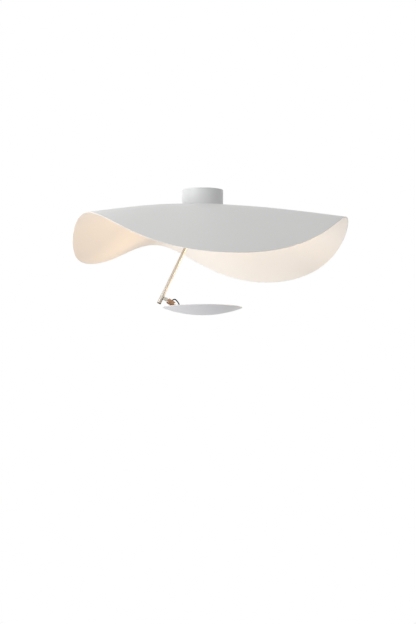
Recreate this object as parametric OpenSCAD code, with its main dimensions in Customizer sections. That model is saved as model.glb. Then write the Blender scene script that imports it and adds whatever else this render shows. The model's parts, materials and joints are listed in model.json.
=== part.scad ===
// Ceiling light with a wavy sheet shade, a slanted stem and an uplighting dish.
// Origin: middle of the ceiling face, +Z up, everything hangs below, +X to the right, +Y to the back.

/* [Canopy] */
// Outer diameter of the ceiling canopy
canopy_d = 88; // [84:1:104]
// Height of the canopy, from the ceiling to the shade
canopy_h = 35; // [34:1:48]
// Sheet thickness of the canopy
canopy_wall = 1.2; // [0.8:0.1:1.6]

/* [Ceiling bracket] */
// Thickness of the bracket plate
bracket_t = 1.5; // [1.2:0.1:2]
// Width of the bracket plate, front to back
bracket_w = 64; // [62:1:70]
// Distance between the two ceiling screws
ceiling_screw_pitch = 60; // [54:1:64]
// Diameter of the ceiling screw holes
ceiling_hole_d = 5; // [4:0.5:6]
// Diameter of the hole for the mains cable
cable_hole_d = 12; // [9:0.5:14]
// Width of the bent ears that take the canopy screws
ear_w = 14; // [10:1:18]
// Height of the bent ears
ear_h = 14; // [12:1:18]
// Diameter of the canopy screws
canopy_screw_d = 4; // [3:0.5:5]

/* [LED driver] */
// Length of the driver case
driver_l = 50; // [44:1:52]
// Width of the driver case
driver_w = 19; // [17:1:20]
// Height of the driver case
driver_h = 20; // [18:1:22]
// Wall of the driver case
driver_wall = 1.5; // [1.2:0.1:2]
// Thickness of the driver lid
driver_lid_t = 1.6; // [1.2:0.1:2.4]
// Distance from the lamp's axis to the middle of the driver
driver_off = 21; // [20.5:0.1:21.5]
// Diameter of the two screws that hang the driver
driver_screw_d = 3; // [2.5:0.1:3.5]

/* [Terminal block] */
// Distance of each of the two terminals from the middle of the block
terminal_pitch = 9; // [8:0.5:10]
// Depth of the block, front to back
terminal_w = 16; // [14:1:18]
// Height of the block
terminal_h = 12; // [11:1:14]
// Distance from the lamp's axis to the middle of the block
terminal_off = 22; // [21:0.5:23]

/* [Threaded tube and shade clamp] */
// Outer diameter of the threaded tube
tube_d = 10; // [9:0.5:12]
// Bore of the threaded tube
tube_bore = 5; // [4:0.5:6]
// Distance across the flats of the tube's nuts
nut_af = 17; // [15:1:19]
// Height of the nut inside the canopy
nut_h = 3.5; // [2.5:0.5:5]
// Thickness of the toothed washer
tooth_washer_t = 1; // [0.6:0.1:1.6]
// Diameter of the washer that carries the shade
seat_washer_d = 34; // [28:1:44]
// Thickness of the washer that carries the shade
seat_washer_t = 1; // [0.8:0.1:2]
// Height of the nut under the shade
clamp_nut_h = 2.5; // [2:0.5:4]

/* [Shade] */
// Radius of the flat sheet blank that is pressed to the shade
blank_r = 307; // [280:1:330]
// How far the middle of the blank lies to the right of the seat
blank_off = 8; // [0:1:15]
// Sheet thickness of the shade
shade_t = 1.2; // [0.8:0.1:2]
// How far the flat seat of the shade reaches past the canopy
seat_margin = 2; // [1:0.5:8]
// Share of the radius over which the sheet turns from flat to falling
bend_share = 0.35; // [0.2:0.05:0.6]
// How broad the falling lobes are beside the raised ones
lobe_breadth = 1.6; // [1:0.1:2.2]
// Direction of the raised edge on the right
right_crest_at = -13; // [-20:1:-5]
// Fall of the raised edge on the right
right_crest_drop = 31; // [20:1:50]
// Direction of the low edge at the back right
back_lobe_at = 52; // [45:1:60]
// Fall of the low edge at the back right
back_lobe_drop = 143; // [100:1:150]
// Direction of the raised edge at the back
back_crest_at = 111; // [105:1:118]
// Fall of the raised edge at the back
back_crest_drop = 50; // [35:1:70]
// Direction of the low edge on the left
left_lobe_at = 166; // [158:1:172]
// Fall of the low edge on the left
left_lobe_drop = 114; // [90:1:125]
// Direction of the raised edge at the front left
front_crest_at = 216; // [208:1:224]
// Fall of the raised edge at the front left
front_crest_drop = 35; // [25:1:55]
// Direction of the low edge at the front
front_lobe_at = 283; // [275:1:290]
// Fall of the low edge at the front
front_lobe_drop = 128; // [100:1:135]

/* [Upper swivel] */
// Diameter of the swivel plate
swivel_d = 20; // [20:0.5:26]
// Thickness of the swivel plate
swivel_t = 2.5; // [2:0.1:3]
// Thickness of each cheek
cheek_t = 4; // [3.6:0.1:4.5]
// Diameter of the flange that carries the swivel
flange_d = 13; // [12.6:0.1:13.6]
// Thickness of the flange
flange_t = 1; // [0.8:0.1:1]
// Thickness of the spring washer over the swivel
spring_washer_t = 0.3; // [0.2:0.1:0.4]
// Diameter of the knuckle on top of the stem
knuckle_d = 8; // [7:0.5:8]
// Width of the knuckle on top of the stem
knuckle_w = 8; // [7:0.5:8]
// Diameter of the two pivot screws
pivot_screw_d = 3; // [2.5:0.1:3.5]

/* [Stem] */
// Distance from the tilt pivot to the end of the stem
stem_l = 217.5; // [190:0.5:260]
// Distance from the dish joint to the end of the stem
foot_l = 15; // [14:0.5:22]
// Diameter of the stem tube
stem_d = 7.4; // [6.8:0.1:7.6]
// Bore of the stem tube
stem_bore = 5; // [4.4:0.1:5.4]
// Angle of the stem from the vertical
stem_angle = 25.5; // [18:0.5:32]
// How deep the knuckle's spigot sits in the stem
spigot_l = 8; // [6:0.5:12]

/* [Dish joint] */
// Outer diameter of the sleeve that turns on the stem
sleeve_d = 8.6; // [8.4:0.1:9.4]
// Length of the sleeve above the joint
sleeve_above = 7; // [5:0.5:12]
// Height of the stop ring over the sleeve
stop_ring_h = 1; // [0.8:0.1:2]
// Thickness of the end cap's head
cap_t = 2; // [1.5:0.1:3]
// Distance from the stem's axis to the dish pivot
pivot_off = 10.2; // [9.8:0.1:13]
// Diameter of the fork's ears
ear_d = 8; // [7.4:0.1:8]
// Width of the fork over both ears
fork_w = 9; // [9:0.1:11]
// Thickness of the tongue between the ears
tongue_t = 4; // [3:0.1:4.2]
// Diameter of the dish pivot screw
tilt_screw_d = 3; // [2.5:0.1:3]

/* [Barrel and arm] */
// Slope of the barrel and the arm below the horizontal, with the dish level
arm_slope = 33.5; // [30:0.5:38]
// Diameter of the polished barrel
barrel_d = 12; // [11:0.5:13]
// Length of the polished barrel
barrel_l = 16; // [14:0.2:20]
// Diameter of the arm from the barrel to the LED plate
arm_d = 4; // [4:0.5:5]
// Diameter of the boss that takes the arm
boss_d = 9; // [7.5:0.5:10]
// Length of the boss that takes the arm
boss_l = 12; // [10:0.5:13]

/* [Dish] */
// Diameter of the dish
dish_d = 170; // [150:1:200]
// Depth of the dish, from the rim plane to the bottom
dish_depth = 15.3; // [15:0.1:22]
// Sheet thickness of the dish
dish_t = 1.2; // [0.8:0.1:1.6]
// Height of the dish pivot over the rim plane
dish_hang = 17.9; // [17.4:0.1:19]
// Diameter of the posts welded into the dish
post_d = 6; // [5:0.5:7]
// Distance from the dish's axis to each post
post_r = 28; // [27:0.5:29]

/* [LED module] */
// Diameter of the LED plate
plate_d = 70; // [68:1:74]
// Thickness of the LED plate
plate_t = 3; // [2.5:0.1:3.5]
// How far the lug for the arm reaches out of the LED plate
lug_l = 11.4; // [9:0.1:14]
// Width of the lug for the arm
lug_w = 12; // [11:0.5:14]
// How far the plate's upper face lies under the rim plane
plate_sink = 3; // [2.5:0.1:3.2]
// Height of the cooling ribs and bosses under the plate
rib_h = 3; // [2:0.1:3]
// Diameter of the LED board
board_d = 36; // [32:1:38]
// Diameter of the light emitting surface
emitter_d = 16; // [12:1:17]
// Diameter of the frosted cover
cover_d = 44; // [43.5:0.1:45]
// Height of the frosted cover
cover_h = 6.5; // [6:0.1:7]
// Wall of the frosted cover
cover_wall = 1.5; // [1:0.1:1.6]

/* [Leads] */
// Diameter of the black lead at the dish
lead_d = 2.6; // [2:0.1:2.8]
// Diameter of the two-core lead in the canopy
core_lead_d = 2; // [1.4:0.1:2.2]
// Diameter of the two-core lead in the stem
stem_lead_d = 1.6; // [1.2:0.1:2]
// Diameter of the single mains leads
mains_lead_d = 2; // [1.4:0.1:2.4]

/* [Fits] */
// Radial clearance of pins and shafts that turn
run_gap = 0.05; // [0.02:0.01:0.1]
// Gap between flat faces that slide on each other
face_gap = 0.1; // [0.1:0.05:0.2]
// Radial clearance of parts that are only put together
loose_gap = 0.15; // [0.1:0.05:0.3]

/* [Hidden] */
$fn = 96;

// How far a cutting body reaches past the face that it cuts
cut = 1;
// How far a body reaches into the one that it is joined to
sink = 0.5;

// Heights, counted down from the ceiling
canopy_r = canopy_d / 2;
canopy_in = canopy_r - canopy_wall;
floor_z = -canopy_h + canopy_wall;
seat_z = -canopy_h;
washer_z = seat_z - shade_t;
clamp_z = washer_z - seat_washer_t;
spring_z = clamp_z - clamp_nut_h;
swivel_z = spring_z - spring_washer_t - face_gap;
flange_z = swivel_z - swivel_t - face_gap;

// Bracket
bracket_gap = 0.6;
bracket_r = canopy_in - bracket_gap;
ear_edge = 1;
ear_x = sqrt(pow(bracket_r, 2) - pow(ear_w / 2 + ear_edge, 2));
canopy_screw_share = 0.6;
canopy_screw_z = -bracket_t - ear_h * canopy_screw_share;

// Driver
driver_top = -bracket_t;
case_top = driver_top - driver_lid_t;
case_bottom = case_top - driver_h;
driver_post_wall = 1.5;
driver_post_r = driver_screw_d / 2 + driver_post_wall;
driver_screw_x = driver_l / 2 - driver_wall / 2 - driver_post_r;
screw_head_h = 1.8;
screw_socket_af = driver_screw_d * 0.8;
ledge_h = 5;
driver_board_t = 1.6;
driver_board_gap = 0.5;
driver_board_l = 2 * (driver_screw_x - driver_post_r - driver_board_gap);
driver_board_w = driver_w - 2 * driver_wall - 2 * loose_gap;
lead_hole_z = case_top - driver_h / 2;

// Terminal block
terminal_end = 6;
terminal_l = 2 * (terminal_pitch + terminal_end);
terminal_hole_d = 3;
terminal_screw_d = 3.6;
terminal_bore_share = 0.45;
terminal_bore_z = -bracket_t - terminal_h * terminal_bore_share;

// Tube, nuts and washers
tube_r = tube_d / 2;
tube_over_nut = 3;
tube_top = floor_z + tooth_washer_t + nut_h + tube_over_nut;
tube_bottom = flange_z - flange_t;
knuckle_gap = 0.3;
pivot_z = tube_bottom - knuckle_gap - knuckle_d / 2;
hole_gap = 0.2;

// Shade
shade_sides = 96;
shade_rings = 20;
arc_samples = 24;
seat_r = canopy_r + seat_margin;
wave_at = [
  right_crest_at, back_lobe_at, back_crest_at, left_lobe_at,
  front_crest_at, front_lobe_at, right_crest_at + 360
];
wave_drop = [
  right_crest_drop, back_lobe_drop, back_crest_drop, left_lobe_drop,
  front_crest_drop, front_lobe_drop, right_crest_drop
];

// Upper swivel
cheek_in = knuckle_w / 2 + face_gap;
cheek_out = cheek_in + cheek_t;
cheek_edge = 0.6;
cheek_r = knuckle_d / 2 + cheek_edge;
flange_gap = 0.4;
pivot_head_edge = 1.3;
pivot_head_r = pivot_screw_d / 2 + pivot_head_edge;
pivot_head_h = 1.6;
pivot_grip = 2.2;

// Stem and dish joint, along the stem from the pivot
joint_at = stem_l - foot_l;
stem_r = stem_d / 2;
rod_gap = 0.4;
rod_top = cheek_r + rod_gap;
rod_end = stem_l - cap_t;
sleeve_top = joint_at - sleeve_above;
sleeve_end = rod_end - face_gap;
sleeve_step = 0.1;
side_hole_d = 2.6;
tongue_edge = 0.3;
tongue_r = ear_d / 2 - tongue_edge;
slot_x = pivot_off - ear_d / 2;
slot_w = tongue_t + 2 * face_gap;
tilt_head_edge = 1.1;
tilt_head_r = tilt_screw_d / 2 + tilt_head_edge;
tilt_head_h = 1.4;
tilt_nut_h = 1.8;
tilt_nut_af = 5.5;

// Barrel and arm, along the barrel from the dish pivot
barrel_gap = 0.3;
barrel_start = ear_d / 2 + barrel_gap;
barrel_end = barrel_start + barrel_l;
tongue_shank_r = 3;
tongue_shank_l = 4.5;
arm_grip = 2.8;
wire_bore_d = 4;
wire_groove_r = 0.8;
wire_groove_z = 2.5;
edge_r = 0.5;

// Dish pivot in the lamp's frame, and the dish placed from it
joint_x = pivot_off * cos(stem_angle) - joint_at * sin(stem_angle);
joint_z = pivot_z - pivot_off * sin(stem_angle) - joint_at * cos(stem_angle);
boss_end = (dish_hang + plate_sink) / sin(arm_slope);
boss_start = boss_end - boss_l;
boss_floor = 1.5;
arm_tip = boss_end - boss_floor;
dish_x = joint_x + boss_end * cos(arm_slope) + plate_d / 2 + lug_l;
rim_z = joint_z - dish_hang;
dish_r = dish_d / 2;
ball_r = (pow(dish_r, 2) + pow(dish_depth, 2)) / (2 * dish_depth);
ball_z = rim_z + ball_r - dish_depth;

// LED plate
plate_z = rim_z - plate_sink;
plate_r = plate_d / 2;
plate_bottom = plate_z - plate_t;
rib_z = plate_bottom - rib_h;
rib_t = 1.5;
rib_pitch = 8;
ribs_beside = 3;
rib_edge = 4;
post_angles = [0, 120, 240];
plate_boss_wall = 1;
plate_boss_r = post_d / 2 + plate_boss_wall;
post_thread_d = 3;
thread_over_nut = 0.8;
post_nut_h = 2.4;
post_nut_af = 5.5;

// LED module
led_board_t = 1.6;
emitter_t = 1.1;
holder_h = 3.8;
holder_r = cover_d / 2 - cover_wall - loose_gap;
holder_screw_r = 13.5;
holder_screw_d = 2.5;
holder_head_d = 4.4;
holder_head_h = 1.6;
holder_head_gap = 0.2;
holder_head_sink = 0.3;
window_edge = 0.8;
plate_floor = 0.6;
holder_screw_grip = plate_t - plate_floor;
notch_in = 4;

// Leads: turning points chosen by hand
lead_sides = 8;
lead_steps = 3;
// Black lead at the barrel, in the barrel's frame: along it, backwards, and square to it
lead_exit_points = [
  [10.2, 0, 0], [11.1, 1.8, 2.9], [12, 3.6, 5.8], [12.54, 4.68, 7.54],
  [14.4, 5.4, 10.2], [17.8, 5.8, 11.1], [22, 6.3, 9.9]
];
// How many of these steps lie in one line, in the hole through the barrel's wall
lead_wall_steps = 3;
// Black lead on its way down to the LED plate, from the board's edge: along, backwards, and up
lead_y = 7.5;
lead_down_points = [
  [-34, 6.8, 12.8], [-31.8, 7.1, 8.6], [-29.4, 7.3, 4.6], [-26, 7.4, 1.4],
  [-21.5, lead_y, 0], [-13, lead_y, 0], [0, lead_y, 0]
];
lead_over_plate = 0.1;
lead_z = -dish_hang - plate_sink + lead_d / 2 + lead_over_plate;
board_edge_x = dish_x - joint_x - board_d / 2;
lead_loop_points = concat(
  [for (p = lead_exit_points) [
    p[0] * cos(arm_slope) + p[2] * sin(arm_slope), p[1],
    p[2] * cos(arm_slope) - p[0] * sin(arm_slope)
  ]],
  [for (p = lead_down_points) [board_edge_x + p[0], p[1], lead_z + p[2]]]
);
// Lead from the driver into the threaded tube
lead_in = 0.5;
lead_over_tube = 1.3;
driver_lead_points = [
  [driver_l / 2 - lead_in, driver_off, lead_hole_z], [28, 20.5, lead_hole_z], [31, 16, -13.3],
  [30, 9, -13.8], [22, 3, -13.5], [12, 0.5, -12.8], [4, 0, -14], [0.6, 0, -19],
  [0, 0, tube_top + lead_over_tube], [0, 0, tube_bottom + lead_over_tube]
];
// Mains leads from the terminal block to the driver
terminal_grip = 1;
mains_lead_split = 2.5;
terminal_front = -terminal_off + terminal_w / 2 - terminal_grip;
live_lead_points = [
  [-terminal_pitch, terminal_front, terminal_bore_z], [-9, -9, -7.9], [-14, -3, -10.9],
  [-23, 2, -12.7], [-30, 8, -13.4], [-30.5, 14, -13.4], [-28, 18, lead_hole_z],
  [-driver_l / 2 + lead_in, driver_off - mains_lead_split, lead_hole_z]
];
neutral_lead_points = [
  [terminal_pitch, terminal_front, terminal_bore_z], [9, -9, -8.4], [2, -5, -12.4],
  [-12, -1, -15.7], [-25, 3, -16.5], [-33, 9, -15.9], [-35, 16, -14.4], [-32, 22, -13.3],
  [-28, 23.5, lead_hole_z],
  [-driver_l / 2 + lead_in, driver_off + mains_lead_split, lead_hole_z]
];

function unit(v) = v / norm(v);

// Direction of a line of points at one of them
function way(p, i) = unit(p[min(i + 1, len(p) - 1)] - p[max(i - 1, 0)]);
// Smooth step between two points that leaves and arrives in given directions
function bridge(a, b, leave, arrive, t) =
  let (l = norm(b - a), t2 = t * t, t3 = t * t * t)
    (2 * t3 - 3 * t2 + 1) * a + (t3 - 2 * t2 + t) * l * leave
      + (3 * t2 - 2 * t3) * b + (t3 - t2) * l * arrive;
// Curve through the points, with lead_steps pieces between two of them
function curve(p) = let (n = len(p) - 1) concat(
  [for (i = [0 : n - 1], k = [0 : lead_steps - 1])
    bridge(p[i], p[i + 1], way(p, i), way(p, i + 1), k / lead_steps)],
  [p[n]]
);
function square_to(v, d) = unit(v - (v * d) * d);

// Round tube swept along a curve, its rings carried on without twist
module tube_along(points, d, first_side) {
  p = curve(points);
  n = len(p);
  side = [
    for (i = 0, s = square_to(first_side, way(p, 0)); i < n;
      i = i + 1, s = square_to(s, way(p, min(i, n - 1)))) s
  ];
  ring_points = [
    for (i = [0 : n - 1], k = [0 : lead_sides - 1])
      let (a = 360 * k / lead_sides, up = cross(way(p, i), side[i]))
        p[i] + d / 2 * (cos(a) * side[i] + sin(a) * up)
  ];
  walls = [
    for (i = [0 : n - 2], k = [0 : lead_sides - 1])
      let (a = i * lead_sides + k, b = i * lead_sides + (k + 1) % lead_sides)
        each [[a, a + lead_sides, b], [b, a + lead_sides, b + lead_sides]]
  ];
  start = [for (k = [1 : lead_sides - 2]) [0, k, k + 1]];
  last = (n - 1) * lead_sides;
  end = [for (k = [1 : lead_sides - 2]) [last, last + k + 1, last + k]];
  polyhedron(ring_points, concat(walls, start, end));
}

// Shade: fall of the rim in a direction, and fall of the sheet on the way out
function lobe_index(a, i = 0) = a < wave_at[i + 1] ? i : lobe_index(a, i + 1);
function ease(t) = let (s = pow(sin(90 * t), 2)) s * (1 + lobe_breadth) / (1 + lobe_breadth * s);
function rim_drop(a) =
  let (
    i = lobe_index(a),
    t = (a - wave_at[i]) / (wave_at[i + 1] - wave_at[i]),
    from_crest = i % 2 == 0
  )
    from_crest
      ? wave_drop[i] + (wave_drop[i + 1] - wave_drop[i]) * ease(t)
      : wave_drop[i + 1] + (wave_drop[i] - wave_drop[i + 1]) * ease(1 - t);
bend_scale = sqrt(1 + pow(bend_share, 2)) - bend_share;
function fall(t) = (sqrt(t * t + pow(bend_share, 2)) - bend_share) / bend_scale;
function fall_rate(t) = t / sqrt(t * t + pow(bend_share, 2)) / bend_scale;
// Mean length of the bent sheet for each millimetre that it spans
function stretch(drop, span) =
  let (parts = [
    for (k = [0 : arc_samples - 1])
      sqrt(1 + pow(drop / span * fall_rate((k + 0.5) / arc_samples), 2))
  ])
    parts * [for (k = parts) 1] / arc_samples;
// Span of the bent sheet, so that its length along the bend is that of the flat blank
function span_of(flat, drop, span, n) =
  n == 0 ? span : span_of(flat, drop, flat / stretch(drop, span), n - 1);
function flat_reach(a) =
  blank_off * cos(a) + sqrt(pow(blank_r, 2) - pow(blank_off * sin(a), 2)) - seat_r;

module sheet_shade() {
  settle_rounds = 12;
  angles = [for (i = [0 : shade_sides - 1]) right_crest_at + 360 * i / shade_sides];
  drops = [for (a = angles) rim_drop(a)];
  spans = [
    for (i = [0 : shade_sides - 1])
      let (flat = flat_reach(angles[i])) span_of(flat, drops[i], flat, settle_rounds)
  ];
  upper = [
    for (i = [0 : shade_sides - 1])
      let (c = cos(angles[i]), s = sin(angles[i]), hole = tube_r + hole_gap)
        concat(
          [[hole * c, hole * s, seat_z]],
          [for (j = [0 : shade_rings])
            let (t = j / shade_rings, r = seat_r + spans[i] * t)
              [r * c, r * s, seat_z - drops[i] * fall(t)]]
        )
  ];
  lower = [
    for (i = [0 : shade_sides - 1])
      [for (j = [0 : shade_rings + 1])
        let (
          before = upper[(i + shade_sides - 1) % shade_sides][j],
          after = upper[(i + 1) % shade_sides][j],
          outwards = upper[i][min(j + 1, shade_rings + 1)] - upper[i][max(j - 1, 0)],
          normal = j < 2 ? [0, 0, 1] : unit(cross(outwards, after - before))
        )
          upper[i][j] - shade_t * normal]
  ];
  row = shade_rings + 2;
  total = shade_sides * row;
  points = concat([for (r = upper) each r], [for (r = lower) each r]);
  faces = [
    for (i = [0 : shade_sides - 1])
      let (a = i * row, b = ((i + 1) % shade_sides) * row)
        each concat(
          [for (j = [0 : row - 2]) each [
            [a + j, b + j, a + j + 1],
            [b + j, b + j + 1, a + j + 1],
            [total + a + j, total + a + j + 1, total + b + j],
            [total + b + j, total + a + j + 1, total + b + j + 1]
          ]],
          [[a, total + a, b], [b, total + a, total + b]],
          [
            [a + row - 1, b + row - 1, total + a + row - 1],
            [b + row - 1, total + b + row - 1, total + a + row - 1]
          ]
        )
  ];
  polyhedron(points, faces);
}

// Frame along the slanted stem: origin at the tilt pivot, -Z down the stem
module on_stem() {
  translate([0, 0, pivot_z]) rotate([0, stem_angle, 0]) children();
}
// Frame at the dish pivot, square to the stem
module on_joint() {
  on_stem() translate([pivot_off, 0, -joint_at]) children();
}
// Frame at the dish pivot, +X along the barrel and the arm
module on_arm() {
  translate([joint_x, 0, joint_z]) rotate([0, arm_slope, 0]) children();
}

// Slot in the foot of the LED holder and its cover for the black lead
module lead_notch() {
  w = lead_d + 2 * hole_gap;
  translate([-cover_d / 2 - cut, lead_y - w / 2, -cut])
    cube([(cover_d - board_d) / 2 + notch_in, w, w + cut]);
}

module ring(outer, inner, h) {
  difference() {
    cylinder(r = outer, h = h);
    translate([0, 0, -cut]) cylinder(r = inner, h = h + 2 * cut);
  }
}
module hexagon(af, h) {
  cylinder(d = af / cos(30), h = h, $fn = 6);
}
// Nut standing on z = 0, bored for its thread
module nut(af, h, thread_r) {
  difference() {
    hexagon(af, h);
    translate([0, 0, -cut]) cylinder(r = thread_r, h = h + 2 * cut);
  }
}
// Screw with its head from z = 0 down and its shank up, with a hexagon socket
module socket_screw(shank_r, shank_l, head_r, head_h, socket_af, socket_depth) {
  difference() {
    union() {
      cylinder(r = shank_r, h = shank_l);
      translate([0, 0, -head_h]) cylinder(r = head_r, h = head_h);
    }
    translate([0, 0, -head_h - cut]) hexagon(socket_af, socket_depth + cut);
  }
}
// Cylinder along +X from the origin
module rod_x(r, l) {
  rotate([0, 90, 0]) cylinder(r = r, h = l);
}
// Cylinder along Y, centred
module rod_y(r, l) {
  rotate([90, 0, 0]) cylinder(r = r, h = l, center = true);
}
// Cylinder from one point to another
module rod_between(a, b, r) {
  d = b - a;
  translate(a) rotate([0, acos(d[2] / norm(d)), atan2(d[1], d[0])]) cylinder(r = r, h = norm(d));
}

module ceiling_bracket() {
  color("gainsboro") difference() {
    union() {
      translate([0, 0, -bracket_t]) linear_extrude(bracket_t) intersection() {
        circle(bracket_r);
        square([2 * ear_x, bracket_w], center = true);
      }
      for (side = [-1, 1])
        translate([side * (ear_x - bracket_t / 2), 0, -bracket_t - ear_h / 2])
          cube([bracket_t, ear_w, ear_h + bracket_t / 2], center = true);
    }
    for (side = [-1, 1])
      translate([side * ceiling_screw_pitch / 2, 0, -bracket_t - cut])
        cylinder(d = ceiling_hole_d, h = bracket_t + 2 * cut);
    translate([0, 0, -bracket_t - cut]) cylinder(d = cable_hole_d, h = bracket_t + 2 * cut);
    translate([-ear_x - cut, 0, canopy_screw_z])
      rod_x(canopy_screw_d / 2 + run_gap, 2 * (ear_x + cut));
    for (side = [-1, 1])
      translate([side * driver_screw_x, driver_off, -bracket_t - cut])
        cylinder(r = driver_screw_d / 2 + run_gap, h = bracket_t + 2 * cut);
    translate([0, -terminal_off, -bracket_t - cut])
      cylinder(r = driver_screw_d / 2 + run_gap, h = bracket_t + 2 * cut);
  }
}

module canopy() {
  color("whitesmoke") difference() {
    translate([0, 0, -canopy_h]) cylinder(r = canopy_r, h = canopy_h, $fn = 180);
    translate([0, 0, floor_z]) cylinder(r = canopy_in, h = canopy_h, $fn = 180);
    translate([0, 0, -canopy_h - cut]) cylinder(r = tube_r + hole_gap, h = canopy_wall + 2 * cut);
    translate([-canopy_r - cut, 0, canopy_screw_z])
      rod_x(canopy_screw_d / 2 + loose_gap, 2 * (canopy_r + cut));
  }
}

module canopy_screws() {
  past_ear = 1;
  inner_x = ear_x - bracket_t - past_ear;
  socket_af = canopy_screw_d / 2;
  socket_depth = 2;
  color("silver") for (turn = [0, 180]) rotate([0, 0, turn]) difference() {
    translate([inner_x, 0, canopy_screw_z])
      rod_x(canopy_screw_d / 2, canopy_r - loose_gap - inner_x);
    translate([canopy_r - loose_gap - socket_depth, 0, canopy_screw_z])
      rotate([0, 90, 0]) hexagon(socket_af, socket_depth + cut);
  }
}

module driver_case() {
  inner_l = driver_l - 2 * driver_wall;
  inner_w = driver_w - 2 * driver_wall;
  ledge_t = 1;
  ledge_y = (inner_w + sink - ledge_t) / 2;
  ledge_z = case_bottom + driver_wall + (ledge_h - sink) / 2;
  color("white") difference() {
    union() {
      difference() {
        translate([-driver_l / 2, driver_off - driver_w / 2, case_bottom])
          cube([driver_l, driver_w, driver_h]);
        translate([-inner_l / 2, driver_off - inner_w / 2, case_bottom + driver_wall])
          cube([inner_l, inner_w, driver_h]);
      }
      for (side = [-1, 1])
        translate([side * driver_screw_x, driver_off, case_bottom])
          cylinder(r = driver_post_r, h = driver_h);
      for (side = [-1, 1])
        translate([0, driver_off + side * ledge_y, ledge_z])
          cube([inner_l / 2, ledge_t + sink, ledge_h + sink], center = true);
    }
    for (side = [-1, 1])
      translate([side * driver_screw_x, driver_off, case_bottom - cut])
        cylinder(r = driver_screw_d / 2 + loose_gap, h = driver_h + 2 * cut);
    translate([driver_l / 2 - driver_wall - cut, driver_off, lead_hole_z])
      rod_x(core_lead_d / 2 + hole_gap, driver_wall + 2 * cut);
    for (side = [-1, 1])
      translate([-driver_l / 2 - cut, driver_off + side * mains_lead_split, lead_hole_z])
        rod_x(mains_lead_d / 2 + hole_gap, driver_wall + 2 * cut);
  }
}

module driver_lid() {
  color("whitesmoke") difference() {
    translate([-driver_l / 2, driver_off - driver_w / 2, case_top])
      cube([driver_l, driver_w, driver_lid_t]);
    for (side = [-1, 1])
      translate([side * driver_screw_x, driver_off, case_top - cut])
        cylinder(r = driver_screw_d / 2 + loose_gap, h = driver_lid_t + 2 * cut);
  }
}

module driver_board() {
  board_z = case_bottom + driver_wall + ledge_h;
  top_z = board_z + driver_board_t;
  coil_w = driver_board_w * 0.7;
  coil_h = 8;
  can_d = 7;
  can_h = 9;
  color("seagreen") union() {
    translate([0, driver_off, board_z + driver_board_t / 2])
      cube([driver_board_l, driver_board_w, driver_board_t], center = true);
    translate([-driver_board_l / 6, driver_off, top_z + coil_h / 2])
      cube([coil_w, coil_w, coil_h], center = true);
    translate([driver_board_l / 4, driver_off, top_z]) cylinder(d = can_d, h = can_h);
  }
}

module driver_screws() {
  color("silver") for (side = [-1, 1])
    translate([side * driver_screw_x, driver_off, case_bottom])
      socket_screw(
        driver_screw_d / 2, -case_bottom - loose_gap,
        driver_screw_d, screw_head_h, screw_socket_af, screw_head_h / 2
      );
}

module terminal_block() {
  well_r = terminal_screw_d / 2 + hole_gap;
  bottom_z = -bracket_t - terminal_h;
  color("ivory") difference() {
    translate([-terminal_l / 2, -terminal_off - terminal_w / 2, bottom_z])
      cube([terminal_l, terminal_w, terminal_h]);
    for (i = [-1, 1]) {
      translate([i * terminal_pitch, -terminal_off, terminal_bore_z])
        rod_y(terminal_hole_d / 2, terminal_w + cut);
      for (j = [-1, 1])
        translate([i * terminal_pitch, -terminal_off + j * terminal_w / 4, bottom_z - cut])
          cylinder(r = well_r, h = terminal_bore_z - bottom_z + cut);
    }
    translate([0, -terminal_off, bottom_z - cut]) {
      cylinder(r = driver_screw_d / 2 + loose_gap, h = terminal_h + 2 * cut);
      cylinder(r = driver_screw_d + hole_gap, h = terminal_h / 2 + cut);
    }
  }
}

module terminal_screws() {
  screw_l = 3.5;
  slot_t = 0.7;
  slot_depth = 0.8;
  screw_z = terminal_bore_z - screw_l - hole_gap;
  color("gold") for (i = [-1, 1], j = [-1, 1])
    translate([i * terminal_pitch, -terminal_off + j * terminal_w / 4, screw_z])
      difference() {
        cylinder(d = terminal_screw_d, h = screw_l);
        cube([terminal_screw_d + cut, slot_t, 2 * slot_depth], center = true);
      }
  color("silver") translate([0, -terminal_off, -bracket_t - terminal_h / 2])
    socket_screw(
      driver_screw_d / 2, bracket_t + terminal_h / 2 - loose_gap,
      driver_screw_d, screw_head_h, screw_socket_af, screw_head_h / 2
    );
}

module mains_leads() {
  color("saddlebrown") tube_along(live_lead_points, mains_lead_d, [1, 0, 0]);
  color("steelblue") tube_along(neutral_lead_points, mains_lead_d, [1, 0, 0]);
}

module driver_lead() {
  color("dimgray") tube_along(driver_lead_points, core_lead_d, [0, 0, 1]);
}

module threaded_tube() {
  color("goldenrod") difference() {
    union() {
      translate([0, 0, tube_bottom]) cylinder(r = tube_r, h = tube_top - tube_bottom);
      translate([0, 0, tube_bottom]) cylinder(d = flange_d, h = flange_t);
    }
    translate([0, 0, tube_bottom - cut]) cylinder(d = tube_bore, h = tube_top - tube_bottom + 2 * cut);
  }
}

module tooth_washer() {
  color("silver") translate([0, 0, floor_z]) ring(nut_af / 2, tube_r + hole_gap, tooth_washer_t);
}

module tube_nut() {
  color("silver") translate([0, 0, floor_z + tooth_washer_t]) nut(nut_af, nut_h, tube_r + run_gap);
}

module shade() {
  color("white") sheet_shade();
}

module seat_washer() {
  color("silver") translate([0, 0, clamp_z]) ring(seat_washer_d / 2, tube_r + hole_gap, seat_washer_t);
}

module clamp_nut() {
  color("silver") translate([0, 0, spring_z]) nut(nut_af, clamp_nut_h, tube_r + run_gap);
}

module spring_washer() {
  edge = 2;
  color("gray") translate([0, 0, spring_z - spring_washer_t])
    ring(swivel_d / 2 - edge, tube_r + hole_gap, spring_washer_t);
}

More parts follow.
